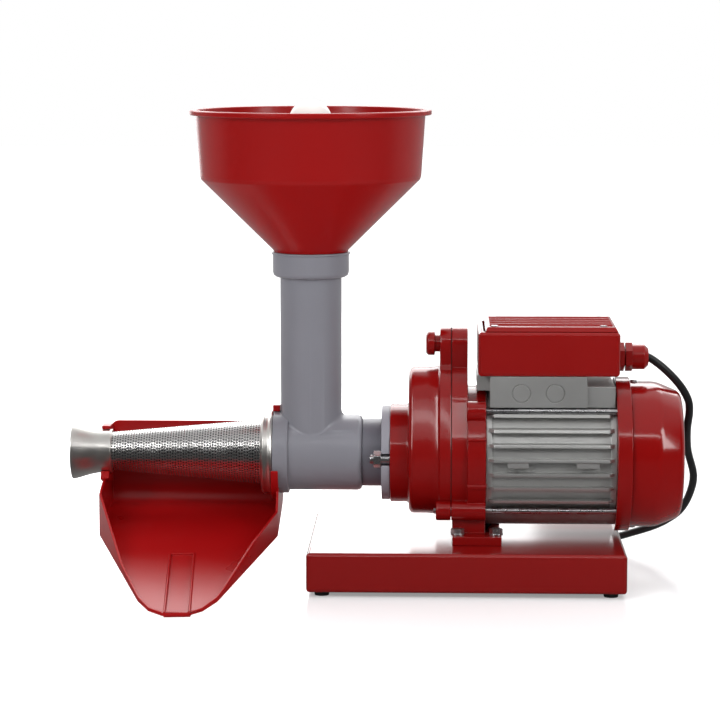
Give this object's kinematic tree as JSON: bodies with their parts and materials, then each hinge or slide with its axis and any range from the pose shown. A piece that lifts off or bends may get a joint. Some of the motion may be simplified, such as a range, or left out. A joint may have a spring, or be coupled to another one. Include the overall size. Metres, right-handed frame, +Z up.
{
  "type": "electric tomato press",
  "caption": "Geared electric tomato press on a folded red base: hopper with pestle, auger in a grey barrel, perforated cone with flared nozzle, sloping juice tray, finned motor.",
  "frame": {"origin": "middle of the base, on the surface that the press stands on", "axes": "+X along the motor axis from the nozzle towards the fan, +Y away from the user, +Z up; the juice tray slopes towards -Y"},
  "size_m": [0.5561, 0.4061, 0.418],
  "materials": {
    "red_enamel": "glossy baked enamel",
    "black_rubber": "satin black",
    "dark_rubber": "matt",
    "bright_steel": "zinc plated or ground",
    "cast_alloy": "bare casting",
    "core_steel": "stacked laminations",
    "copper_wire": "varnished winding",
    "bronze": "sintered",
    "gear_steel": "hobbed, oiled",
    "pale_plastic": "matt",
    "dark_plastic": "satin",
    "red_plastic": "satin moulding",
    "deep_red_plastic": "satin moulding",
    "tray_red": "satin moulding",
    "grey_plastic": "fine satin moulding",
    "dark_grey": "satin moulding",
    "light_grey": "satin grey",
    "white_plastic": "food-safe satin",
    "inox": "bright stainless"
  },
  "bodies": {
    "machine": {"base_plate": "red_enamel", "rubber_feet": "black_rubber", "gear_case_front": "red_enamel", "gear_case_rear": "red_enamel", "case_gasket": "dark_rubber", "grease_plug": "red_enamel", "foot_bolts": "bright_steel", "foot_nuts": "bright_steel", "stator_frame": "cast_alloy", "stator_core": "core_steel", "stator_windings": "copper_wire", "tie_rods": "bright_steel", "tie_rod_nuts": "bright_steel", "rear_shield": "red_enamel", "motor_bearings": "bright_steel", "output_bearings": "bright_steel", "layshaft_bushes": "bronze", "output_seal": "dark_rubber", "fan_cover": "red_enamel", "fan_cover_screws": "bright_steel", "terminal_base": "cast_alloy", "capacitor_box": "red_enamel", "box_lid": "red_enamel", "lid_screws": "bright_steel", "capacitor": "pale_plastic", "terminal_block": "dark_plastic", "gland_body": "red_plastic", "gland_locknut": "red_plastic", "gland_nut": "red_plastic", "switch_housing": "dark_plastic", "press_body": "grey_plastic", "neck_sleeve": "dark_grey", "clamp_flange": "light_grey", "clamp_studs": "bright_steel", "clamp_nuts": "bright_steel", "cord": "black_rubber", "cord_coil": "black_rubber", "plug_body": "black_rubber", "plug_pins": "bright_steel"},
    "hopper": {"hopper": "deep_red_plastic"},
    "pestle": {"pestle": "white_plastic"},
    "filter": {"filter_cone": "inox", "filter_ring": "inox", "nozzle": "inox"},
    "tray": {"tray": "tray_red"},
    "drive": {"auger": "white_plastic", "drive_pin": "bright_steel", "output_shaft": "bright_steel", "output_gear": "gear_steel"},
    "layshaft": {"layshaft": "gear_steel", "layshaft_gear": "gear_steel"},
    "rotor": {"rotor_core": "core_steel", "motor_shaft": "bright_steel", "motor_pinion": "gear_steel", "cooling_fan": "dark_plastic"},
    "rocker": {"rocker": "red_plastic"}
  },
  "joints": [
    {"name": "auger_spin", "type": "hinge", "parent": "machine", "child": "drive", "pos_m": [-0.07, 0, 0.109], "axis": [1, 0, 0], "continuous": true},
    {"name": "layshaft_spin", "type": "hinge", "parent": "machine", "child": "layshaft", "pos_m": [-0.02, 0, 0.1465], "axis": [1, 0, 0], "continuous": true},
    {"name": "rotor_spin", "type": "hinge", "parent": "machine", "child": "rotor", "pos_m": [0.073, 0, 0.109], "axis": [1, 0, 0], "continuous": true},
    {"name": "hopper_lift", "type": "slide", "parent": "machine", "child": "hopper", "axis": [0, 0, 1], "range_m": [0, 0.12]},
    {"name": "pestle_lift", "type": "slide", "parent": "machine", "child": "pestle", "axis": [0, 0, 1], "range_m": [0, 0.28]},
    {"name": "filter_pull", "type": "slide", "parent": "machine", "child": "filter", "axis": [-1, 0, 0], "range_m": [0, 0.16]},
    {"name": "tray_swing", "type": "hinge", "parent": "filter", "child": "tray", "pos_m": [-0.24, 0, 0.109], "axis": [1, 0, 0], "range_deg": [-25, 0]},
    {"name": "rocker_tip", "type": "hinge", "parent": "machine", "child": "rocker", "pos_m": [0.08545, 0.045, 0.20195], "axis": [0, 0, 1], "range_deg": [0, 18]}
  ],
  "couplings": [
    {"joint": "layshaft_spin", "follows": "auger_spin", "ratio": -4},
    {"joint": "rotor_spin", "follows": "auger_spin", "ratio": 21}
  ]
}
